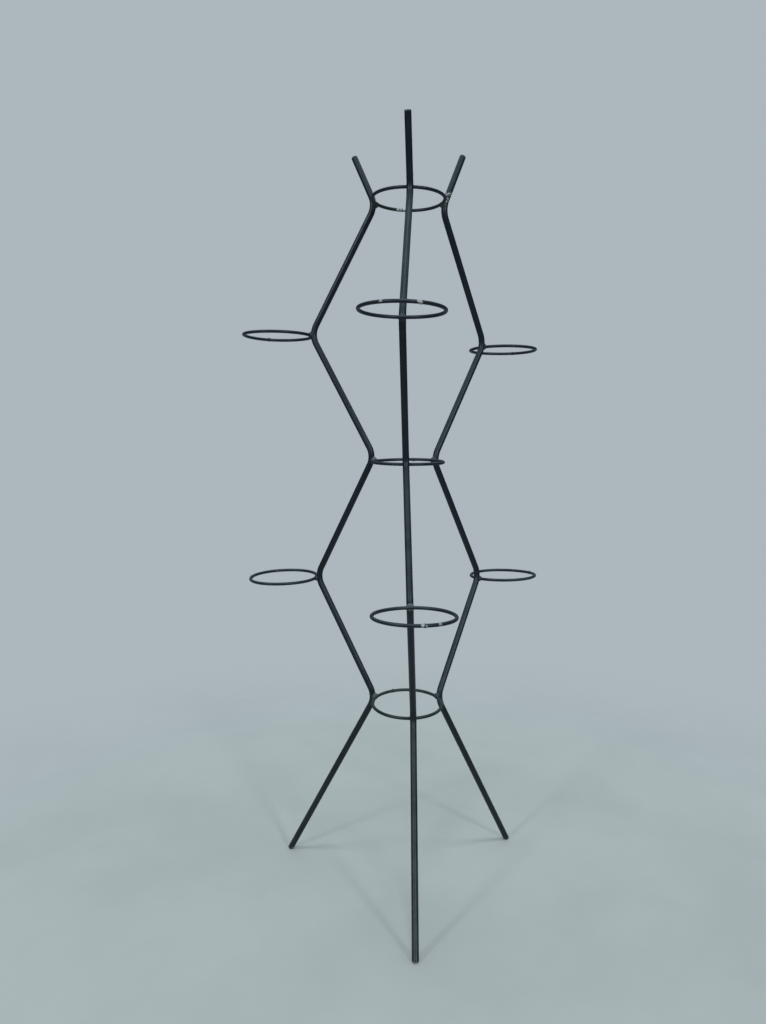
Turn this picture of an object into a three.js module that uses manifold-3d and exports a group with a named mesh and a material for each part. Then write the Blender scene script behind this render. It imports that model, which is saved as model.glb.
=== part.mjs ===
// A tall garden stand for pot plants. Three zigzag legs of round steel bar are tied together by
// three wire rings, and a wire pot ring is welded to the outside of each leg at both its bulges.
import * as THREE from 'three';
import Module from 'manifold-3d';
import { mergeVertices } from 'three/addons/utils/BufferGeometryUtils.js';

// Driving dimensions, in millimetres.
const HEIGHT = 1400;
const BAR_RADIUS = 6;
const BEND_RADIUS = 38;
const TIP_REACH = 122;
const PINCH_REACH = 71.3;
const BULGE_REACH = 199;
const FOOT_REACH = 264;
const TOP_PINCH_HEIGHT = 1293;
const ZIGZAG_STEP = 236;
const WIRE_RADIUS = 3;
const RING_BORE = 128;
const FOOT_DRESSING = 1.5;

// Weld beads. A fillet is measured across, along the wire, and along the bar.
const FILLET_SIZE = [10.6, 15, 14];
const SEAM_LENGTH = 4;
const SEAM_RADIUS = 3.6;
const SEAM_END_RADIUS = 2.9;
const FIT_GAP = 0.3;

// How finely the round shapes are divided.
const BAR_SIDES = 12;
const BEND_STEPS = 7;
const WIRE_SIDES = 8;
const RING_STEPS = 36;
const FILLET_SIDES = 10;
const FILLET_BANDS = 6;
const CLOSEST_SAMPLES = 1500;

// Each leg has seven corners from tip to foot. Bending by hand leaves every corner a few degrees
// round the stand from its leg's azimuth, and a few millimetres up or down.
const LEGS = [
  { name: 'front', azimuth: -90, twist: [-6, -3, -8, -8, -4, 4, -2], rise: [7, 0, -2, 0, -2, 0, 0] },
  { name: 'right', azimuth: 30, twist: [-3, -9, 5, 10, 7, -3, 0], rise: [-5, -5, -6, 0, -5, 0, 0] },
  { name: 'left', azimuth: 150, twist: [-7, -4, 6, 1, 1, -2, 3], rise: [-5, 4, 5, 6, 0, 2, 0] },
];

// The tie rings sit inside the pinches. Lean is the rise to the right and to the back, in
// degrees, and seam is the azimuth of the butt joint in the wire.
const TIE_RINGS = [
  { name: 'top', corner: 1, rise: 5, lean: [-1, -1], seam: 102 },
  { name: 'middle', corner: 3, rise: -4, lean: [0, 2.5], seam: 75 },
  { name: 'bottom', corner: 5, rise: 0, lean: [0, 5], seam: 110 },
];

// The pot rings sit outside the bulges, each close to the height of its leg's corner. Swing is
// how far a ring is turned round its leg from straight out.
const POT_RINGS = [
  { name: 'upper_front', leg: 0, corner: 2, swing: 2.5, rise: 0, lean: [-1.5, -1], seam: -71 },
  { name: 'upper_right', leg: 1, corner: 2, swing: 9, rise: -6, lean: [0, -0.5], seam: 60 },
  { name: 'upper_left', leg: 2, corner: 2, swing: 3.5, rise: 1, lean: [-1, 0], seam: 110 },
  { name: 'lower_front', leg: 0, corner: 4, swing: 3.5, rise: -2, lean: [-0.5, -0.5], seam: -81 },
  { name: 'lower_right', leg: 1, corner: 4, swing: -3.5, rise: -8, lean: [1, -0.5], seam: 20 },
  { name: 'lower_left', leg: 2, corner: 4, swing: 13, rise: -5, lean: [1.5, 2.5], seam: 170 },
];

// How far out each corner of a leg is, from its tip down to where it meets the floor.
const CORNER_REACHES = [
  TIP_REACH, PINCH_REACH, BULGE_REACH, PINCH_REACH, BULGE_REACH, PINCH_REACH, FOOT_REACH,
];
const FOOT_CORNER = CORNER_REACHES.length - 1;
const RING_RADIUS = RING_BORE / 2 + WIRE_RADIUS;
const TO_RADIANS = Math.PI / 180;
const UP = new THREE.Vector3(0, 0, 1);

const wasm = await Module();
wasm.setup();

// A line through fixed stations, close together in the bends and far apart on the straights.
class StationPath extends THREE.Curve {
  constructor(stations) {
    super();
    this.stations = stations;
  }

  getPoint(t, target = new THREE.Vector3()) {
    const last = this.stations.length - 1;
    const place = THREE.MathUtils.clamp(t, 0, 1) * last;
    const before = Math.min(Math.floor(place), last - 1);
    return target.lerpVectors(this.stations[before], this.stations[before + 1], place - before);
  }

  // Equal steps go from one station to the next, whatever their distance.
  getUtoTmapping(u) {
    return u;
  }
}

function polar(radius, azimuth, height) {
  const angle = azimuth * TO_RADIANS;
  return new THREE.Vector3(radius * Math.cos(angle), radius * Math.sin(angle), height);
}

// The stations of one bend: an arc tangent to both straights that meet at the corner.
function bendStations(before, corner, after) {
  const along = corner.clone().sub(before).normalize();
  const away = after.clone().sub(corner).normalize();
  const turn = along.angleTo(away);
  const side = away.clone().addScaledVector(along, -along.dot(away)).normalize();
  const start = corner.clone().addScaledVector(along, -BEND_RADIUS * Math.tan(turn / 2));
  const centre = start.addScaledVector(side, BEND_RADIUS);
  return Array.from({ length: BEND_STEPS + 1 }, (_, step) => {
    const angle = (turn * step) / BEND_STEPS;
    const point = centre.clone().addScaledVector(side, -BEND_RADIUS * Math.cos(angle));
    return point.addScaledVector(along, BEND_RADIUS * Math.sin(angle));
  });
}

// The zigzag corners are evenly spaced below the top pinch.
function cornerHeight(index) {
  if (index === 0) {
    return HEIGHT;
  }
  return index === FOOT_CORNER ? 0 : TOP_PINCH_HEIGHT - (index - 1) * ZIGZAG_STEP;
}

// The sharp corners of one leg, before its bends are rounded.
function legCorners(leg) {
  return CORNER_REACHES.map((reach, index) => {
    const azimuth = leg.azimuth + leg.twist[index];
    return polar(reach, azimuth, cornerHeight(index) + leg.rise[index]);
  });
}

// A leg is sawn square, so its centreline stops above the floor by the drop of the sawn rim,
// less the little that is dressed off to give the foot a level flat.
function legPath(leg) {
  const corners = legCorners(leg);
  const foot = corners.pop();
  const down = foot.clone().sub(corners.at(-1)).normalize();
  const rimDrop = BAR_RADIUS * Math.hypot(down.x, down.y);
  foot.addScaledVector(down, (rimDrop - FOOT_DRESSING) / down.z);
  corners.push(foot);
  const stations = [corners[0]];
  for (let index = 1; index < corners.length - 1; index += 1) {
    stations.push(...bendStations(corners[index - 1], corners[index], corners[index + 1]));
  }
  stations.push(foot);
  return new StationPath(stations);
}

// A closed round rod of the given radius along a station path.
function rod(path, radius, sides) {
  const section = new THREE.Shape();
  for (let side = 0; side < sides; side += 1) {
    const angle = ((side + 0.5) / sides) * Math.PI * 2;
    const point = [radius * Math.cos(angle), radius * Math.sin(angle)];
    if (side === 0) {
      section.moveTo(...point);
    } else {
      section.lineTo(...point);
    }
  }
  section.closePath();
  const steps = path.stations.length - 1;
  return new THREE.ExtrudeGeometry(section, { steps, extrudePath: path });
}

function toSolid(geometry) {
  const bare = geometry.clone();
  bare.deleteAttribute('normal');
  bare.deleteAttribute('uv');
  const merged = mergeVertices(bare);
  const vertProperties = new Float32Array(merged.attributes.position.array);
  const triVerts = new Uint32Array(merged.index.array);
  return new wasm.Manifold(new wasm.Mesh({ numProp: 3, vertProperties, triVerts }));
}

function toGeometry(solid) {
  const { vertProperties, triVerts } = solid.getMesh();
  const geometry = new THREE.BufferGeometry();
  geometry.setAttribute('position', new THREE.BufferAttribute(vertProperties, 3));
  geometry.setIndex(new THREE.BufferAttribute(triVerts, 1));
  return geometry;
}

// Whatever reaches below floor level is dressed off, which leaves each foot a small level flat.
function dressFoot(geometry) {
  const floor = new THREE.BoxGeometry(2 * HEIGHT, 2 * HEIGHT, HEIGHT);
  floor.translate(0, 0, -HEIGHT / 2);
  return toGeometry(toSolid(geometry).subtract(toSolid(floor)));
}

// The frame of a ring: its centre, and the two leaning directions that span its plane.
function ringFrame(centre, lean) {
  const right = new THREE.Vector3(1, 0, Math.tan(lean[0] * TO_RADIANS)).normalize();
  const back = new THREE.Vector3(0, 1, Math.tan(lean[1] * TO_RADIANS));
  back.addScaledVector(right, -back.dot(right)).normalize();
  return { centre, right, back, normal: right.clone().cross(back) };
}

function ringPoint(frame, azimuth) {
  const angle = azimuth * TO_RADIANS;
  const point = frame.centre.clone().addScaledVector(frame.right, RING_RADIUS * Math.cos(angle));
  return point.addScaledVector(frame.back, RING_RADIUS * Math.sin(angle));
}

// A ring's wire runs round from one side of its butt joint to the other.
function ringPath(frame, seam) {
  const halfJoint = (SEAM_LENGTH / 2 + 2 * FIT_GAP) / RING_RADIUS / TO_RADIANS;
  const sweep = 360 - 2 * halfJoint;
  return new StationPath(Array.from({ length: RING_STEPS + 1 }, (_, step) => {
    return ringPoint(frame, seam + halfJoint + (sweep * step) / RING_STEPS);
  }));
}

// The butt weld is a short barrel between the two wire ends, a little proud of the wire.
function seamBead(frame, seam) {
  const half = SEAM_LENGTH / 2;
  const profile = [
    new THREE.Vector2(0, -half),
    new THREE.Vector2(SEAM_END_RADIUS, -half),
    new THREE.Vector2(SEAM_RADIUS, -half / 2),
    new THREE.Vector2(SEAM_RADIUS, half / 2),
    new THREE.Vector2(SEAM_END_RADIUS, half),
    new THREE.Vector2(0, half),
  ];
  const place = ringPoint(frame, seam);
  const outward = place.clone().sub(frame.centre).normalize();
  const along = frame.normal.clone().cross(outward);
  const turned = new THREE.Matrix4().makeBasis(outward, along, outward.clone().cross(along));
  const bead = new THREE.LatheGeometry(profile, WIRE_SIDES);
  return toGeometry(toSolid(bead.applyMatrix4(turned.setPosition(place))));
}

function closestOnPath(path, target) {
  let closest = path.getPoint(0);
  for (let sample = 1; sample <= CLOSEST_SAMPLES; sample += 1) {
    const point = path.getPoint(sample / CLOSEST_SAMPLES);
    if (point.distanceTo(target) < closest.distanceTo(target)) {
      closest = point;
    }
  }
  return closest;
}

// The fillet weld where a ring's wire passes a leg: a flattened lump centred between the two,
// cut back to clear the bar and the wire.
function filletBead(frame, azimuth, legCurve, ringCurve) {
  const onWire = ringPoint(frame, azimuth);
  const onBar = closestOnPath(legCurve, onWire);
  const across = onBar.clone().sub(onWire).normalize();
  const along = UP.clone().cross(across).normalize();
  const turned = new THREE.Matrix4().makeBasis(across, along, across.clone().cross(along));
  const middle = (onBar.distanceTo(onWire) - BAR_RADIUS + WIRE_RADIUS) / 2;
  turned.setPosition(onWire.clone().addScaledVector(across, middle));
  const lump = new THREE.SphereGeometry(0.5, FILLET_SIDES, FILLET_BANDS).scale(...FILLET_SIZE);
  const bar = rod(legCurve, BAR_RADIUS + FIT_GAP, BAR_SIDES);
  const wire = rod(ringCurve, WIRE_RADIUS + FIT_GAP, WIRE_SIDES);
  const bead = toSolid(lump.applyMatrix4(turned)).subtract(toSolid(bar)).subtract(toSolid(wire));
  return toGeometry(bead);
}

function blackPaint() {
  return new THREE.MeshStandardMaterial({ color: 0x1f2729, roughness: 0.42, metalness: 0.1 });
}

function weldPaint() {
  return new THREE.MeshStandardMaterial({ color: 0x2c3331, roughness: 0.55, metalness: 0.2 });
}

function addPiece(group, name, geometry, material) {
  const piece = new THREE.Mesh(geometry, material);
  piece.name = name;
  group.add(piece);
}

// Adds one ring, its butt weld, and a fillet weld at each of the legs that it touches.
function addRing(group, kind, ring, centre, touching) {
  const frame = ringFrame(centre, ring.lean);
  const path = ringPath(frame, ring.seam);
  addPiece(group, `${kind}_ring_${ring.name}`, rod(path, WIRE_RADIUS, WIRE_SIDES), blackPaint());
  addPiece(group, `${kind}_seam_${ring.name}`, seamBead(frame, ring.seam), weldPaint());
  for (const { suffix, azimuth, legCurve } of touching) {
    const bead = filletBead(frame, azimuth, legCurve, path);
    addPiece(group, `${kind}_weld_${ring.name}${suffix}`, bead, weldPaint());
  }
}

function addTieRing(group, ring, legPaths) {
  const touching = LEGS.map((leg, index) => {
    const azimuth = leg.azimuth + leg.twist[ring.corner];
    return { suffix: `_${leg.name}`, azimuth, legCurve: legPaths[index] };
  });
  const centre = new THREE.Vector3(0, 0, cornerHeight(ring.corner) + ring.rise);
  addRing(group, 'tie', ring, centre, touching);
}

// A pot ring's centre lies out from its leg, a ring's radius past the bar.
function addPotRing(group, ring, legPaths) {
  const leg = LEGS[ring.leg];
  const azimuth = leg.azimuth + leg.twist[ring.corner];
  const height = cornerHeight(ring.corner) + leg.rise[ring.corner] + ring.rise;
  const onBar = closestOnPath(legPaths[ring.leg], polar(BULGE_REACH, azimuth, height));
  const outward = azimuth + ring.swing;
  const centre = polar(BAR_RADIUS + FIT_GAP + WIRE_RADIUS + RING_RADIUS, outward, height);
  centre.add(new THREE.Vector3(onBar.x, onBar.y, 0));
  const touching = [{ suffix: '', azimuth: outward + 180, legCurve: legPaths[ring.leg] }];
  addRing(group, 'pot', ring, centre, touching);
}

function buildStand() {
  const stand = new THREE.Group();
  const legPaths = LEGS.map(legPath);
  LEGS.forEach((leg, index) => {
    const bar = rod(legPaths[index], BAR_RADIUS, BAR_SIDES);
    addPiece(stand, `leg_${leg.name}`, dressFoot(bar), blackPaint());
  });
  for (const ring of TIE_RINGS) {
    addTieRing(stand, ring, legPaths);
  }
  for (const ring of POT_RINGS) {
    addPotRing(stand, ring, legPaths);
  }
  return stand;
}

// The origin is on the floor under the middle of the stand's overall box.
const stand = buildStand();
const middle = new THREE.Box3().setFromObject(stand).getCenter(new THREE.Vector3());
stand.position.set(-middle.x, -middle.y, 0);

const gardenStand = new THREE.Group();
gardenStand.add(stand);

export default gardenStand;
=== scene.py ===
from math import pi, radians

import bpy
import numpy as np
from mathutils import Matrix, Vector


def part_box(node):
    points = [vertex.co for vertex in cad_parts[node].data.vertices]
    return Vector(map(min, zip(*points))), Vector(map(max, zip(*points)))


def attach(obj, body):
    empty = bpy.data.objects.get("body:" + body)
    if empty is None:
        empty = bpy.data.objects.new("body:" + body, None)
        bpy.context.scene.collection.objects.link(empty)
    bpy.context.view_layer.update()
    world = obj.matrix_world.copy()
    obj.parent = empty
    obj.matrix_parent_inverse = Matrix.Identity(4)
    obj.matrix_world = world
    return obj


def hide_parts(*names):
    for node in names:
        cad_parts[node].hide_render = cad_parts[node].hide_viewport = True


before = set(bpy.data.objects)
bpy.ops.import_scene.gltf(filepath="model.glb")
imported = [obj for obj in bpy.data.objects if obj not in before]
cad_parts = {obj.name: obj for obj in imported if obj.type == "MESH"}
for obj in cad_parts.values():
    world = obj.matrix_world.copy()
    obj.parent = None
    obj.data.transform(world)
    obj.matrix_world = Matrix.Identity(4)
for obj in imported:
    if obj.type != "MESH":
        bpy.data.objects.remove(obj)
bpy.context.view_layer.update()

# The studio: a pale matt floor that runs out into a plain pale backdrop, a bright ceiling, and
# three far lamps, one overhead and two low down on either side of the camera. The camera stands
# about a metre and a half from the stand, level with the middle of its legs.
CAMERA_FROM_AXIS = (-0.1359, -1.4851)
CAMERA_HEIGHT = 0.8552
CAMERA_DROP = 5.11
CAMERA_TURN = -3.43
LENS = 27.71
SENSOR = 36
FLOOR_RADIUS = 3.2
FLOOR_RINGS = 48
FLOOR_SIDES = 96
FLOOR_THICKNESS = 0.01
FADE_FROM = 0.6
FADE_TO = 1.7
FLOOR_COLOUR = (0.45, 0.42, 0.385, 1)
FLOOR_MARKS = (0.41, 0.385, 0.355, 1)
FLOOR_ROUGHNESS = 0.6
MARKS_SCALE = 2.2
MARKS_DETAIL = 4.0
MARKS_ROUGHNESS = 0.6
MARKS_RISE = (0.35, 0.7)
BACKDROP = (0.418, 0.476, 0.512, 1)
ROOM_COLOUR = (0.68, 0.88, 1.0, 1)
FLOOR_STRENGTH = 0.30
WALL_STRENGTH = 0.07
CEILING_STRENGTH = 0.98
FLOOR_TO_WALL = (-0.12, -0.02)
WALL_TO_CEILING = (0.25, 0.7)
LAMP_COLOUR = (0.78, 0.93, 1.0)
LAMPS = {
    "overhead_lamp": {"height": 76.8, "round": 0, "width": 9, "strength": 0.72},
    "left_lamp": {"height": 18.5, "round": -43, "width": 7, "strength": 1.15},
    "right_lamp": {"height": 18.5, "round": 26, "width": 7, "strength": 1.25},
}


class Link:
    """A socket in a node tree. Sums and products of links and numbers add Math nodes."""

    def __init__(self, tree, socket=None):
        self.tree = tree
        self.socket = socket

    def node(self, kind, settings=None, inputs=None, output=0):
        """Adds a node. Its settings are set first, and then each input's value or link."""
        made = self.tree.nodes.new(kind)
        for name, value in (settings or {}).items():
            setattr(made, name, value)
        for key, value in (inputs or {}).items():
            if isinstance(value, Link):
                self.tree.links.new(value.socket, made.inputs[key])
            else:
                made.inputs[key].default_value = value
        return Link(self.tree, made.outputs[output]) if made.outputs else None

    def maths(self, operation, first, second):
        return self.node("ShaderNodeMath", {"operation": operation}, {0: first, 1: second})

    def __add__(self, other):
        return self.maths("ADD", self, other)

    def __radd__(self, other):
        return self.maths("ADD", other, self)

    def __sub__(self, other):
        return self.maths("SUBTRACT", self, other)

    def __rsub__(self, other):
        return self.maths("SUBTRACT", other, self)

    def __mul__(self, other):
        return self.maths("MULTIPLY", self, other)

    def __rmul__(self, other):
        return self.maths("MULTIPLY", other, self)


def new_finish(name):
    """An empty node material, and a link that its first nodes are made from."""
    material = bpy.data.materials.new(name)
    material.use_nodes = True
    material.node_tree.nodes.clear()
    return material, Link(material.node_tree)


def noise(place, scale, detail=2.0, roughness=0.5):
    """Soft cloudy values about a half, with scale the number of clouds to a metre."""
    inputs = {"Vector": place, "Scale": scale, "Detail": detail, "Roughness": roughness}
    return place.node("ShaderNodeTexNoise", None, inputs)


def rise_between(value, low, high):
    """0 below low, 1 above high, and a smooth rise between them."""
    inputs = {"Value": value, "From Min": low, "From Max": high}
    return value.node("ShaderNodeMapRange", {"interpolation_type": "SMOOTHSTEP"}, inputs)


def blend_colours(share, first, second):
    """The first colour where share is 0 and the second where it is 1."""
    return share.node("ShaderNodeMix", {"data_type": "RGBA"}, {0: share, 6: first, 7: second}, 2)


def skin(name, grids, extras=()):
    """A closed mesh object over each grid of points.

    A grid is rows by places round a row by columns: x, y, z, and then the extra values that the
    mesh carries as attributes. Every row closes on itself. A point in the middle of the first row
    and one in the middle of the last row close the ends.
    """
    columns, faces, first_point = [], [], 0
    for grid in grids:
        rows, around = grid.shape[:2]
        row = first_point + np.arange(rows)[:, None] * around
        here = np.arange(around)[None]
        beyond = (here + 1) % around
        sides = [row[:-1] + here, row[:-1] + beyond, row[1:] + beyond, row[1:] + here]
        first_pole = first_point + rows * around
        last_row = first_point + (rows - 1) * around
        first_cap = [0 * here + first_pole, first_point + beyond, first_point + here]
        last_cap = [0 * here + first_pole + 1, last_row + here, last_row + beyond]
        faces += np.stack(sides, -1).reshape(-1, 4).tolist()
        faces += np.stack(first_cap, -1).reshape(-1, 3).tolist()
        faces += np.stack(last_cap, -1).reshape(-1, 3).tolist()
        poles = np.stack([grid[0].mean(0), grid[-1].mean(0)])
        columns.append(np.concatenate([grid.reshape(rows * around, -1), poles]))
        first_point = first_pole + 2
    table = np.concatenate(columns)
    mesh = bpy.data.meshes.new(name)
    mesh.from_pydata(table[:, :3].tolist(), [], faces)
    mesh.polygons.foreach_set("use_smooth", np.ones(len(faces), bool))
    column = 3
    for extra, width in extras:
        kind, field = ("FLOAT_VECTOR", "vector") if width == 3 else ("FLOAT", "value")
        values = np.ascontiguousarray(table[:, column:column + width], np.float32)
        mesh.attributes.new(extra, kind, "POINT").data.foreach_set(field, values.ravel())
        column += width
    mesh.update()
    piece = bpy.data.objects.new(name, mesh)
    bpy.context.scene.collection.objects.link(piece)
    return piece


low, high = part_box("tie_ring_middle")
axis_x, axis_y, _ = (np.array(low) + high) / 2

camera = bpy.data.objects.new("camera", bpy.data.cameras.new("camera"))
camera.data.lens = LENS
camera.data.sensor_width = SENSOR
camera.location = (axis_x + CAMERA_FROM_AXIS[0], axis_y + CAMERA_FROM_AXIS[1], CAMERA_HEIGHT)
camera.rotation_euler = (radians(90 - CAMERA_DROP), 0, radians(CAMERA_TURN))
bpy.context.scene.collection.objects.link(camera)
bpy.context.scene.camera = camera
bpy.context.scene.view_settings.view_transform = "Standard"

for name, facts in LAMPS.items():
    lamp = bpy.data.lights.new(name, "SUN")
    lamp.angle = radians(facts["width"])
    lamp.energy = facts["strength"]
    lamp.color = LAMP_COLOUR
    holder = bpy.data.objects.new(name, lamp)
    holder.rotation_euler = (radians(90 - facts["height"]), 0, radians(facts["round"]))
    bpy.context.scene.collection.objects.link(holder)

world = bpy.data.worlds.new("studio")
bpy.context.scene.world = world
world.use_nodes = True
world.node_tree.nodes.clear()
start = Link(world.node_tree)
seen = start.node("ShaderNodeBackground", None, {"Color": BACKDROP, "Strength": 1})
way = start.node("ShaderNodeTexCoord")
rise = start.node("ShaderNodeSeparateXYZ", None, {0: way}, 2)
wall = rise_between(rise, *FLOOR_TO_WALL) * (WALL_STRENGTH - FLOOR_STRENGTH)
ceiling = rise_between(rise, *WALL_TO_CEILING) * (CEILING_STRENGTH - WALL_STRENGTH)
strength = FLOOR_STRENGTH + wall + ceiling
room = start.node("ShaderNodeBackground", None, {"Color": ROOM_COLOUR, "Strength": strength})
seen_share = start.node("ShaderNodeLightPath")
both = start.node("ShaderNodeMixShader", None, {0: seen_share, 1: room, 2: seen})
start.node("ShaderNodeOutputWorld", None, {"Surface": both})

floor_finish, start = new_finish("floor_paint")
place = start.node("ShaderNodeTexCoord", output=3)
clouds = noise(place, MARKS_SCALE, MARKS_DETAIL, MARKS_ROUGHNESS)
marks = rise_between(clouds, *MARKS_RISE)
colour = blend_colours(marks, FLOOR_COLOUR, FLOOR_MARKS)
matt_inputs = {"Base Color": colour, "Roughness": FLOOR_ROUGHNESS}
matt = start.node("ShaderNodeBsdfPrincipled", None, matt_inputs)
clear = start.node("ShaderNodeBsdfTransparent")
middle = (axis_x, axis_y, 0)
from_axis = start.node("ShaderNodeVectorMath", {"operation": "SUBTRACT"}, {0: place, 1: middle})
reach = start.node("ShaderNodeVectorMath", {"operation": "LENGTH"}, {0: from_axis}, 1)
inside = start.node("ShaderNodeNewGeometry", output=6)
gone = start.maths("MAXIMUM", rise_between(reach, FADE_FROM, FADE_TO), inside)
surface = start.node("ShaderNodeMixShader", None, {0: gone, 1: matt, 2: clear})
start.node("ShaderNodeOutputMaterial", None, {"Surface": surface})

radius = np.linspace(0, FLOOR_RADIUS, FLOOR_RINGS + 1)[1:, None]
angle = np.linspace(0, 2 * pi, FLOOR_SIDES, endpoint=False)[None]
over = [axis_x + radius * np.cos(angle), axis_y + radius * np.sin(angle), 0 * radius * angle]
over = np.stack(over, -1)
under = over - (0, 0, FLOOR_THICKNESS)
floor = skin("floor", [np.concatenate([under, over[::-1]])])
floor.data.materials.append(floor_finish)

# The legs: three lengths of 12 mm round steel bar, each bent cold at five places and sawn square
# at both ends. The tips are filed round, and the feet are worn level where they stand. They are
# sprayed satin black after the whole stand is welded.
BAR_RADIUS = 0.006
BAR_SIDES = 40
BAR_STEP = 0.002
LINE_STEP = 0.0005
SHORTEST_RUN = 0.06
GAP_BETWEEN_RUNS = 0.05
TIP_EDGE = 0.0022
FOOT_EDGE = 0.0008
END_STEPS = 8
BEND_SQUASH = 0.022
TIP_WEAR = 0.004
TIP_WORN = 0.8
FOOT_WEAR = 0.007
SCUFF_AND_GLINT_LENGTH = 0.007
# The heights at which a leg's paint is scuffed pale, which also paints a highlight on the bend
# just above the top hoop.
SCUFFS_AND_GLINTS = {"right": (1.306, 1.316)}
UNBENT = (("unbent", 3), ("wear_and_glint", 1))
# The enamel where it is thick and where it is thin, the dust that lies on it, which is also
# painted light on what faces up, and what a chip shows. Scales are to a metre, and each rise is
# where a kind of wear starts and is complete.
BLACK = (0.0030, 0.0064, 0.0100, 1)
THIN_BLACK = (0.0085, 0.014, 0.0185, 1)
DUST_AND_TOP_LIGHT = (0.085, 0.10, 0.104, 1)
BARE_STEEL = (0.34, 0.325, 0.31, 1)
RUST_COLOUR = (0.10, 0.048, 0.026, 1)
ENAMEL_IOR = 1.38
PEEL_SCALE = 420.0
MOTTLE_SCALE = 24.0
DRAWN_SCALE = 1500.0
DRAWN_STRETCH = (1.0, 1.0, 0.03)
CHIP_SCALE = 260.0
RUST_SCALE = 620.0
CHIP_RISE = (0.72, 0.78)
RUST_RISE = (0.66, 0.80)
THIN_RISE = (0.42, 0.85)
DUST_RISE = (0.45, 0.95)
FACING_UP = (0.0, 0.9)
MOST_DUST_AND_TOP_LIGHT = 0.35
BUMP_STRENGTH = 0.5
BUMP_HEIGHT = 0.00022


def unit(vector):
    """The vector, or each row of vectors, at a length of 1."""
    return vector / np.linalg.norm(vector, axis=-1, keepdims=True)


def node_points(name):
    """The corner points of a CAD node's triangles."""
    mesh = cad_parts[name].data
    points = np.empty(3 * len(mesh.vertices), np.float32)
    mesh.vertices.foreach_get("co", points)
    return points.reshape(-1, 3).astype(float)


def straight_runs(name):
    """A bent bar's straight runs from the top down: each run's start, direction and length.

    Only a straight run has edges longer than the shortest run, and those along the bar outnumber
    the slanting ones to either side, so the middle value of their directions is the bar's own.
    """
    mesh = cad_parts[name].data
    edges = np.empty(2 * len(mesh.edges), np.int32)
    mesh.edges.foreach_get("vertices", edges)
    ends = node_points(name)[edges.reshape(-1, 2)]
    ends = ends[np.linalg.norm(ends[:, 0] - ends[:, 1], axis=1) > SHORTEST_RUN]
    falling = ends[:, 0, 2] > ends[:, 1, 2]
    ends = np.where(falling[:, None, None], ends, ends[:, ::-1])
    height = ends[:, :, 2].mean(1)
    order = np.argsort(-height)
    breaks = np.flatnonzero(-np.diff(height[order]) > GAP_BETWEEN_RUNS) + 1
    runs = []
    for run in np.split(ends[order], breaks):
        head = np.unique(run[:, 0].round(6), axis=0).mean(0)
        along = unit(np.median(unit(run[:, 1] - run[:, 0]), axis=0))
        runs.append((head, along, np.median((run[:, 1] - head) @ along)))
    return runs


def bend_between(run, following):
    """The circle whose arc leaves one straight run and meets the next without a kink."""
    leaves = run[0] + run[1] * run[2]
    turn = np.arccos(run[1] @ following[1])
    radius = np.linalg.norm(following[0] - leaves) / 2 / np.sin(turn / 2)
    side = unit(following[1] - run[1] * (run[1] @ following[1]))
    bend = {"centre": leaves + side * radius, "normal": np.cross(run[1], side)}
    return {**bend, "radius": radius, "turn": turn, "along": run[1], "side": side}


def bar_line(runs, bends, outward):
    """A bent bar's centreline in close steps, as a table and the reach along it.

    A run is its start plus reach times direction. A bend goes round its circle from the side that
    the run comes in on. The table's columns are the point, the direction, the way out from the
    stand, and how far into a bend the place is, from 0 on a run to 1 in the middle of a bend.
    """
    parts = []
    for index, (head, along, length) in enumerate(runs):
        reach = np.linspace(0, length, int(length / LINE_STEP))[:, None]
        straight = 0 * reach
        parts.append(np.hstack([head + reach * along, straight + along, straight]))
        if index < len(bends):
            bend = bends[index]
            steps = int(bend["turn"] * bend["radius"] / LINE_STEP)
            angle = np.linspace(0, bend["turn"], steps + 1)[1:-1, None]
            inward = bend["side"] * np.cos(angle) - bend["along"] * np.sin(angle)
            ahead = bend["side"] * np.sin(angle) + bend["along"] * np.cos(angle)
            depth = np.sin(angle / bend["turn"] * pi)
            parts.append(np.hstack([bend["centre"] - inward * bend["radius"], ahead, depth]))
    table = np.concatenate(parts)
    table = np.insert(table, [6], np.broadcast_to(outward, (len(table), 3)), axis=1)
    steps = np.linalg.norm(np.diff(table[:, :3], axis=0), axis=1)
    return table, np.concatenate([[0], np.cumsum(steps)])


def rod_stations(length, radius, edges, step):
    """Reaches along a rod and its radius at each, ends included.

    From the middle of the end the radius grows across the flat, follows a quarter circle round
    the edge, and then stays at the full radius in even steps until the other end.
    """
    across = np.linspace(0, 1, END_STEPS + 1)[1:]
    turn = across * pi / 2
    reaches, radii = [], []
    for edge in edges:
        reaches.append(np.concatenate([0 * across, edge * (1 - np.cos(turn))]))
        radii.append(np.concatenate([(radius - edge) * across, radius - edge + edge * np.sin(turn)]))
    plain = np.linspace(edges[0], length - edges[1], int(length / step))[1:-1]
    reach = np.concatenate([reaches[0], plain, length - reaches[1][::-1]])
    return reach, np.concatenate([radii[0], np.full(len(plain), radius), radii[1][::-1]])


def rod_grid(line, reach, sides):
    """Circles round a line, square to it, at each reach: the middle of each circle, the way out
    and the angle from the outward side at every point, and the line's last column."""
    table, along = line
    here = np.stack([np.interp(reach, along, column) for column in table.T], -1)[:, None]
    point, ahead, facing = here[..., :3], unit(here[..., 3:6]), here[..., 6:9]
    facing = unit(facing - ahead * (facing * ahead).sum(-1, keepdims=True))
    angle = np.linspace(0, 2 * pi, sides, endpoint=False)[None, :, None]
    out = facing * np.cos(angle) + np.cross(ahead, facing) * np.sin(angle)
    return point, out, angle, here[..., 9:]


def unbent_place(angle, reach, width):
    """Where each point would be if the rod were straight and stood along Z."""
    across = np.concatenate([np.cos(angle), np.sin(angle)], -1) * width
    upward = np.broadcast_to(reach[:, None, None], across.shape[:2] + (1,))
    return np.concatenate([across, upward], -1)


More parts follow.
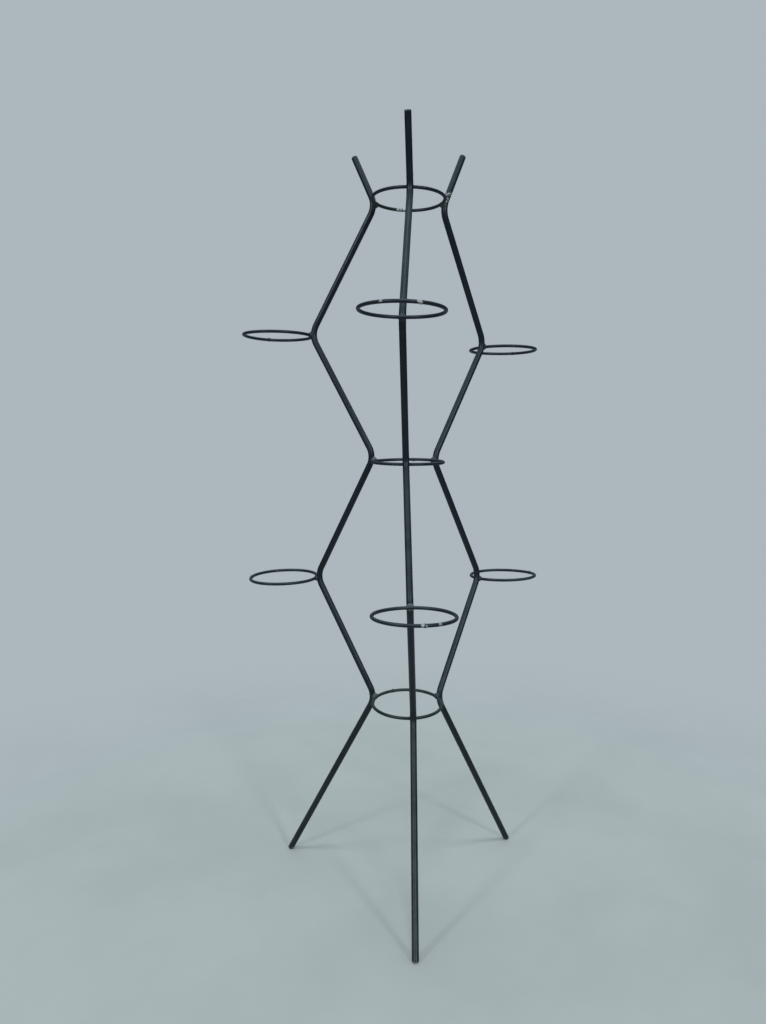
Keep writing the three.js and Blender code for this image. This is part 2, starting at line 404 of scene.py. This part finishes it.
def leg_grid(name, outward, scuff_and_glint_heights):
    """A leg's surface. In a bend the bar is squashed a little across. Nothing reaches below the
    floor. The paint is worn at the tip and at the foot, and worn pale at the heights of the
    scuffs, which also paint a highlight where the bar bends."""
    runs = straight_runs(name)
    bends = [bend_between(*pair) for pair in zip(runs, runs[1:])]
    line = bar_line(runs, bends, outward)
    reach, width = rod_stations(line[1][-1], BAR_RADIUS, (TIP_EDGE, FOOT_EDGE), BAR_STEP)
    point, out, angle, depth = rod_grid(line, reach, BAR_SIDES)
    squash = 1 - BEND_SQUASH * depth * np.cos(2 * angle)
    width = width[:, None, None] * squash
    grid = point + out * width
    grid[..., 2] = np.maximum(grid[..., 2], 0)
    tip = np.exp(-reach / TIP_WEAR)[:, None, None]
    foot = np.exp(-grid[..., 2:] / FOOT_WEAR)
    wear_and_glint = np.maximum(TIP_WORN * tip, foot)
    for height in scuff_and_glint_heights:
        wear_and_glint = np.maximum(wear_and_glint, np.exp(-(((grid[..., 2:] - height) / SCUFF_AND_GLINT_LENGTH) ** 2)))
    return np.concatenate([grid, unbent_place(angle, reach, width), wear_and_glint], -1), bends


def painted_steel(name, paint, thin_paint, gloss, thinned, chipped, rusted):
    """Satin enamel over steel: orange peel, drawing marks along the bar that show through it, a
    little dust on what faces up, which is also painted light on those sides, and chips down to
    steel that is bright or rusty.

    Thinned, chipped and rusted say how much the wear on the mesh does of each; that wear also paints
    highlights, as bare patches put where the metal catches the light."""
    material, start = new_finish(name)
    place = start.node("ShaderNodeTexCoord", output=3)
    unbent = start.node("ShaderNodeAttribute", {"attribute_name": "unbent"}, output=1)
    # Painted highlights ride on this wear: bare patches sit where hoops, welds and one leg bend catch
    # the light.
    wear_and_glint = start.node("ShaderNodeAttribute", {"attribute_name": "wear_and_glint"}, output=2)
    normal = start.node("ShaderNodeNewGeometry", output=1)
    upward = start.node("ShaderNodeSeparateXYZ", None, {0: normal}, 2)
    stretch = {0: unbent, 1: DRAWN_STRETCH}
    lengthwise = start.node("ShaderNodeVectorMath", {"operation": "MULTIPLY"}, stretch)
    peel = noise(place, PEEL_SCALE)
    mottle = noise(place, MOTTLE_SCALE, detail=4.0, roughness=0.6)
    drawn = noise(lengthwise, DRAWN_SCALE)
    chips = noise(place, CHIP_SCALE, detail=5.0, roughness=0.65)
    bare = rise_between(chips + wear_and_glint * chipped, *CHIP_RISE)
    specks = noise(place, RUST_SCALE, detail=3.0)
    rust = rise_between(specks + wear_and_glint * rusted, *RUST_RISE)
    thin = rise_between(mottle * 0.7 + drawn * 0.3 + wear_and_glint * thinned, *THIN_RISE)
    settled = rise_between(mottle + peel * 0.4, *DUST_RISE)
    # Dust on what faces up, which also paints those sides lighter, as if lit from above.
    dust_and_top_light = rise_between(upward, *FACING_UP) * settled * MOST_DUST_AND_TOP_LIGHT
    coat = blend_colours(dust_and_top_light, blend_colours(thin, paint, thin_paint), DUST_AND_TOP_LIGHT)
    metal = blend_colours(rust, BARE_STEEL, RUST_COLOUR)
    height = peel * 0.55 + drawn * 0.25 - bare * 0.9
    bump = {"Strength": BUMP_STRENGTH, "Distance": BUMP_HEIGHT, "Height": height}
    inputs = {
        "Base Color": blend_colours(bare, coat, metal),
        "Roughness": gloss + (peel - 0.5) * 0.22 + dust_and_top_light * 0.5 + bare * (rust * 0.2 + 0.1),
        "Metallic": bare * (0.95 - rust * 0.9),
        "Normal": start.node("ShaderNodeBump", None, bump),
        "IOR": ENAMEL_IOR,
    }
    shader = start.node("ShaderNodeBsdfPrincipled", None, inputs)
    start.node("ShaderNodeOutputMaterial", None, {"Surface": shader})
    return material


leg_wear = {"thinned": 0.1, "chipped": 0.28, "rusted": 0.20}
leg_paint = painted_steel("satin_black_bar", BLACK, THIN_BLACK, gloss=0.40, **leg_wear)
leg_bends = {}
for side in ("front", "right", "left"):
    points = node_points(f"leg_{side}")
    foot = points[points[:, 2] < BAR_RADIUS].mean(0)
    outward = unit(np.array([foot[0] - axis_x, foot[1] - axis_y, 0]))
    grid, leg_bends[side] = leg_grid(f"leg_{side}", outward, SCUFFS_AND_GLINTS.get(side, ()))
    leg = skin(f"leg_{side}_bar", [grid], UNBENT)
    leg.data.materials.append(leg_paint)
    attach(leg, "root")
    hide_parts(f"leg_{side}")

# The hoops: nine rings of 6 mm steel wire, rolled round a former so that a 128 mm circle is left
# inside, and not quite true. Three are welded inside the legs and tie them together, and six are
# welded outside them to hold a pot each. They are sprayed black with the legs.
WIRE_RADIUS = 0.003
HOOP_RADIUS = 0.067
WIRE_SIDES = 28
WIRE_STEP = 0.0011
WIRE_EDGE = 0.0004
SEAM_GAP = 0.0016
HOOP_SEED = 11
OUT_OF_ROUND = 0.00016
OUT_OF_FLAT = 0.00022
THIRD_WAVE = 0.6
INNER_WORN = 0.1
PATCH_WEAR_AND_GLINT = 0.75
PATCH_HIGHLIGHT_ON_TOP = 0.25
PATCH_LENGTH = 0.0035
TIE_RINGS = ("top", "middle", "bottom")
POT_RINGS = tuple(f"{level}_{side}" for level in ("upper", "lower") for side in leg_bends)
# Where a hoop has bare patches, partly rubbed paint and partly painted highlights, strongest on top:
# how far round from its weld, in degrees.
RUB_AND_GLINT_PATCHES = {
    "tie_ring_top": (1, -4, -9),
    "pot_ring_upper_front": (-3, -50),
    "pot_ring_lower_front": (-4, 20),
}


def hoop_frame(kind, name):
    """A hoop's centre, radius and plane, and the way to its butt weld, from the CAD nodes."""
    centre = sum(np.array(corner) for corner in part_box(f"{kind}_ring_{name}")) / 2
    normal = np.linalg.svd(node_points(f"{kind}_ring_{name}") - centre, full_matrices=False)[2][2]
    normal = normal * np.sign(normal[2])
    seam = sum(np.array(corner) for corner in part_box(f"{kind}_seam_{name}")) / 2 - centre
    seam = unit(seam - normal * (seam @ normal))
    return {"centre": centre, "normal": normal, "radius": HOOP_RADIUS, "seam": seam}


def hoop_line(hoop, draw):
    """A hoop's centreline from one side of its weld round to the other: its circle, with the
    radius and height wandering by two and three waves to the turn."""
    half = SEAM_GAP / 2 / HOOP_RADIUS
    angle = np.linspace(half, 2 * pi - half, int(2 * pi * HOOP_RADIUS / LINE_STEP))[:, None]
    onward = np.cross(hoop["normal"], hoop["seam"])
    out = hoop["seam"] * np.cos(angle) + onward * np.sin(angle)
    ahead = onward * np.cos(angle) - hoop["seam"] * np.sin(angle)
    phase = draw.uniform(0, 2 * pi, 4)
    waves = np.cos(2 * angle + phase[0]) + THIRD_WAVE * np.cos(3 * angle + phase[1])
    rise = np.cos(2 * angle + phase[2]) + THIRD_WAVE * np.cos(3 * angle + phase[3])
    point = hoop["centre"] + out * (HOOP_RADIUS + OUT_OF_ROUND * waves)
    point = point + hoop["normal"] * OUT_OF_FLAT * rise
    table = np.hstack([point, ahead, out, angle])
    return table, (angle[:, 0] - half) * HOOP_RADIUS


def hoop_grid(hoop, draw, patches):
    """A hoop's wire, worn a little on the inner side all round, and much more where the patches
    are, most of all on top: the patches are rubbed paint and painted highlights both."""
    line = hoop_line(hoop, draw)
    reach, width = rod_stations(line[1][-1], WIRE_RADIUS, (WIRE_EDGE, WIRE_EDGE), WIRE_STEP)
    point, out, angle, turn = rod_grid(line, reach, WIRE_SIDES)
    width = width[:, None, None]
    wear_and_glint = INNER_WORN * np.maximum(-np.cos(angle), 0) + 0 * turn
    for patch in patches:
        away = np.abs((turn - radians(patch) + pi) % (2 * pi) - pi) * HOOP_RADIUS
        # Painted highlight: the patches are barest on the upper side of the wire.
        most = PATCH_WEAR_AND_GLINT - PATCH_HIGHLIGHT_ON_TOP * np.sin(angle)
        patch_wear_and_glint = np.exp(-((away / PATCH_LENGTH) ** 2)) * most
        wear_and_glint = np.maximum(wear_and_glint, patch_wear_and_glint)
    place = unbent_place(angle, reach, width)
    return np.concatenate([point + out * width, place, wear_and_glint], -1)


ring_wear = {"thinned": 0.1, "chipped": 0.5, "rusted": 0.0}
ring_paint = painted_steel("satin_black_wire", BLACK, THIN_BLACK, gloss=0.42, **ring_wear)
draw = np.random.default_rng(HOOP_SEED)
hoops = {}
for kind, names in (("tie", TIE_RINGS), ("pot", POT_RINGS)):
    for name in names:
        node = f"{kind}_ring_{name}"
        hoops[kind, name] = hoop_frame(kind, name)
        grid = hoop_grid(hoops[kind, name], draw, RUB_AND_GLINT_PATCHES.get(node, ()))
        ring = skin(f"{node}_wire", [grid], UNBENT)
        ring.data.materials.append(ring_paint)
        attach(ring, "root")
        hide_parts(node)

# The butt welds: each hoop's two wire ends are joined with one short run of weld, which is left
# as a ribbed collar and touched with the grinder on its outer side.
COLLAR_HALF = 0.003
COLLAR_RADIUS = 0.0036
COLLAR_ROWS = 44
COLLAR_SIDES = 36
COLLAR_RIPPLE = 0.00009
COLLAR_RIPPLES = 4
COLLAR_LUMP = 0.00016
COLLAR_LEAN = 0.8
COLLAR_BLUNTNESS = 0.35
GROUND_TO = 0.0033
WELD_SEED = 23
SEAM_BLACK = (0.006, 0.010, 0.011, 1)
SEAM_THIN = (0.030, 0.038, 0.038, 1)
# How far the paint is worn on a weld, and on the few that have lost more of it, which also
# paints a highlight on those welds.
WELD_WORN = 0.1
GLINT_COLLARS = {"tie_seam_top": 1.0, "pot_seam_upper_front": 0.7, "pot_seam_lower_front": 0.5}


def collar_grid(hoop, draw, bright):
    """A barrel closed at both ends: along it the radius follows a flattened half circle, with
    ripples across and a few lumps round it, and the outer side is cut off flat."""
    turn = np.linspace(0, pi, COLLAR_ROWS + 2)[1:-1, None, None]
    angle = np.linspace(0, 2 * pi, COLLAR_SIDES, endpoint=False)[None, :, None]
    reach = -COLLAR_HALF * np.cos(turn)
    phase = draw.uniform(0, 2 * pi, 3)
    ripple = np.cos(COLLAR_RIPPLES * pi * np.cos(turn) + COLLAR_LEAN * np.cos(angle + phase[0]))
    lumps = np.cos(2 * angle + phase[1]) * np.cos(turn + phase[2])
    radius = COLLAR_RADIUS + COLLAR_RIPPLE * ripple + COLLAR_LUMP * lumps
    radius = radius * np.sin(turn) ** COLLAR_BLUNTNESS
    out = np.minimum(radius * np.cos(angle), GROUND_TO)
    up = radius * np.sin(angle)
    onward = np.cross(hoop["normal"], hoop["seam"])
    middle = hoop["centre"] + hoop["seam"] * HOOP_RADIUS
    point = middle + onward * reach + hoop["seam"] * out - hoop["normal"] * up
    wear_and_glint = np.full(point.shape[:2] + (1,), bright)
    place = np.concatenate([out, up, reach + 0 * up], -1)
    return np.concatenate([point, place, wear_and_glint], -1)


seam_wear = {"thinned": 0.4, "chipped": 0.45, "rusted": 0.0}
seam_paint = painted_steel("painted_seam", SEAM_BLACK, SEAM_THIN, gloss=0.46, **seam_wear)
draw = np.random.default_rng(WELD_SEED)
for kind, name in hoops:
    node = f"{kind}_seam_{name}"
    grid = collar_grid(hoops[kind, name], draw, GLINT_COLLARS.get(node, WELD_WORN))
    collar = skin(f"{node}_collar", [grid], UNBENT)
    collar.data.materials.append(seam_paint)
    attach(collar, "root")
    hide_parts(node)

# The fillet welds: where a hoop's wire passes a leg the two are run together with weld, which
# fills the corners between them in uneven lumps and throws small balls of spatter on the bar.
WELD_ROWS = 72
WELD_SIDES = 72
WELD_BLEND = 0.0085
WELD_SKIN = 0.00022
WELD_LUMPS = 5
LUMP_HEIGHT = 0.0010
LUMP_SPREAD = 0.10
LUMPS_ACROSS = 0.35
RIPPLE_HEIGHT = 0.0002
RIPPLE_LENGTH = 0.0013
FADE_AFTER = 0.0052
FADE_OVER = 0.0021
FADE_DEPTH = 0.001
BEHIND_WIRE = 0.0003
BEHIND_SLOPE = 1.6
NEAREST_PASSES = 6
SEARCH_REACH = 0.014
SEARCH_STEPS = 22
SPATTER_COUNT = 9
SPATTER_ROWS = 7
SPATTER_SIDES = 10
SPATTER_THROW = (0.009, 0.019)
SPATTER_SIZE = (0.00025, 0.0006)
SPATTER_STANDS = 0.33
WELD_BLACK = (0.007, 0.011, 0.012, 1)
WELD_THIN = (0.070, 0.080, 0.072, 1)
# How far above its hoop a weld is laid, where it is not level with it.
LAID_ABOVE = {"tie_weld_top_right": 0.0032}
# Welds with much of their paint gone, which also paints highlights on them.
GLINT_WELDS = {
    "tie_weld_middle_left": 0.9,
    "tie_weld_bottom_left": 1.0,
    "pot_weld_lower_front": 1.0,
    "tie_weld_top_right": 1.0,
}


def nearest_on(circle, point):
    """The point of a circle that is nearest to a point: straight down to the circle's plane,
    and then out or in to its radius."""
    offset = point - circle["centre"]
    flat = offset - circle["normal"] * (offset @ circle["normal"])
    return circle["centre"] + unit(flat) * circle["radius"]


def tube_distance(circle, tube, points):
    """How far points are outside a tube bent round a circle."""
    offset = points - circle["centre"]
    rise = offset @ circle["normal"]
    spread = np.linalg.norm(offset - rise[..., None] * circle["normal"], axis=-1)
    return np.hypot(rise, spread - circle["radius"]) - tube


def weld_grid(bend, hoop, place, above, draw):
    """The lump of weld round the place where a hoop passes a bend.

    Seen from that place the surface is found in every direction, by halving, where this sum is
    nought: the distances to bar and wire run together smoothly, less the thickness of the weld
    with its lumps and ripples, plus a fade that draws it into the metal at its rim.
    """
    on_wire = nearest_on(hoop, place)
    for _ in range(NEAREST_PASSES):
        on_bar = nearest_on(bend, on_wire)
        on_wire = nearest_on(hoop, on_bar)
    across = unit(on_bar - on_wire)
    level = unit(np.cross(hoop["normal"], across))
    upright = np.cross(across, level)
    gap = np.linalg.norm(on_bar - on_wire) - BAR_RADIUS - WIRE_RADIUS
    middle = on_wire + across * (WIRE_RADIUS + gap / 2) + upright * above
    turn = np.linspace(0, pi, WELD_ROWS + 2)[1:-1, None, None]
    angle = np.linspace(0, 2 * pi, WELD_SIDES, endpoint=False)[None, :, None]
    ways = np.cos(turn) * across
    ways = ways + np.sin(turn) * (np.cos(angle) * level + np.sin(angle) * upright)
    lump_ways = unit(draw.normal(size=(WELD_LUMPS, 3)) * (LUMPS_ACROSS, 1, 1))
    lump_ways = lump_ways @ np.stack([across, level, upright])
    lumps = np.exp((ways @ lump_ways.T - 1) / LUMP_SPREAD) @ draw.uniform(0.3, 1, WELD_LUMPS)
    phase = draw.uniform(0, 2 * pi)

    def outside(distance):
        points = middle + ways * distance[..., None]
        to_bar = tube_distance(bend, BAR_RADIUS, points)
        to_wire = tube_distance(hoop, WIRE_RADIUS, points)
        share = np.clip(0.5 + (to_wire - to_bar) / 2 / WELD_BLEND, 0, 1)
        joined = to_wire * (1 - share) + to_bar * share - WELD_BLEND * share * (1 - share)
        ripple = np.sin((points - middle) @ level / RIPPLE_LENGTH * 2 * pi + phase)
        weld = WELD_SKIN + LUMP_HEIGHT * lumps + RIPPLE_HEIGHT * ripple
        rim = np.maximum(distance - FADE_AFTER, 0) / FADE_OVER
        behind = np.maximum(-BEHIND_WIRE - (points - on_wire) @ across, 0)
        return joined - weld + FADE_DEPTH * rim ** 2 + BEHIND_SLOPE * behind

    near = np.zeros((WELD_ROWS, WELD_SIDES))
    far = near + SEARCH_REACH
    for _ in range(SEARCH_STEPS):
        half = (near + far) / 2
        within = outside(half) < 0
        near, far = np.where(within, half, near), np.where(within, far, half)
    return middle + ways * near[..., None], on_bar


def spatter_grids(bend, on_bar, draw):
    """Small balls stuck to the bar above and below a weld, with their middles just clear of it."""
    side = draw.choice((-1, 1), SPATTER_COUNT)
    along = side * draw.uniform(*SPATTER_THROW, SPATTER_COUNT) / bend["radius"]
    round_bar = draw.uniform(0, 2 * pi, SPATTER_COUNT)
    size = draw.uniform(*SPATTER_SIZE, SPATTER_COUNT)
    toward = unit(on_bar - bend["centre"])
    onward = np.cross(bend["normal"], toward)
    out = toward * np.cos(along)[:, None] + onward * np.sin(along)[:, None]
    way = out * np.cos(round_bar)[:, None] + bend["normal"] * np.sin(round_bar)[:, None]
    centre = bend["centre"] + out * bend["radius"] + way * (BAR_RADIUS + SPATTER_STANDS * size)[:, None]
    turn = np.linspace(0, pi, SPATTER_ROWS + 2)[1:-1, None]
    angle = np.linspace(0, 2 * pi, SPATTER_SIDES, endpoint=False)[None]
    ball = [np.sin(turn) * np.cos(angle), np.sin(turn) * np.sin(angle), -np.cos(turn) + 0 * angle]
    ball = np.stack(ball, -1)
    return centre[:, None, None] + size[:, None, None, None] * ball


def with_extras(grid, wear_and_glint):
    """A grid of points with its own places as the unbent ones, and one value of wear, which on
    some welds also paints a highlight.
    """
    return np.concatenate([grid, grid, np.full(grid.shape[:2] + (1,), wear_and_glint)], -1)


weld_wear = {"thinned": 0.5, "chipped": 0.05, "rusted": 0.0}
weld_paint = painted_steel("painted_weld", WELD_BLACK, WELD_THIN, gloss=0.50, **weld_wear)
for kind, name in hoops:
    sides = leg_bends if kind == "tie" else (name.split("_")[1],)
    for side in sides:
        node = f"tie_weld_{name}_{side}" if kind == "tie" else f"pot_weld_{name}"
        place = sum(np.array(corner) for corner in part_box(node)) / 2
        away = [np.linalg.norm(nearest_on(bend, place) - place) for bend in leg_bends[side]]
        bend = leg_bends[side][int(np.argmin(away))]
        above = LAID_ABOVE.get(node, 0)
        lump, on_bar = weld_grid(bend, hoops[kind, name], place, above, draw)
        wear_and_glint = GLINT_WELDS.get(node, WELD_WORN)
        grids = [with_extras(lump[::-1], wear_and_glint)]
        grids += [with_extras(ball, wear_and_glint) for ball in spatter_grids(bend, on_bar, draw)]
        weld = skin(f"{node}_bead", grids, UNBENT)
        weld.data.materials.append(weld_paint)
        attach(weld, "root")
        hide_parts(node)
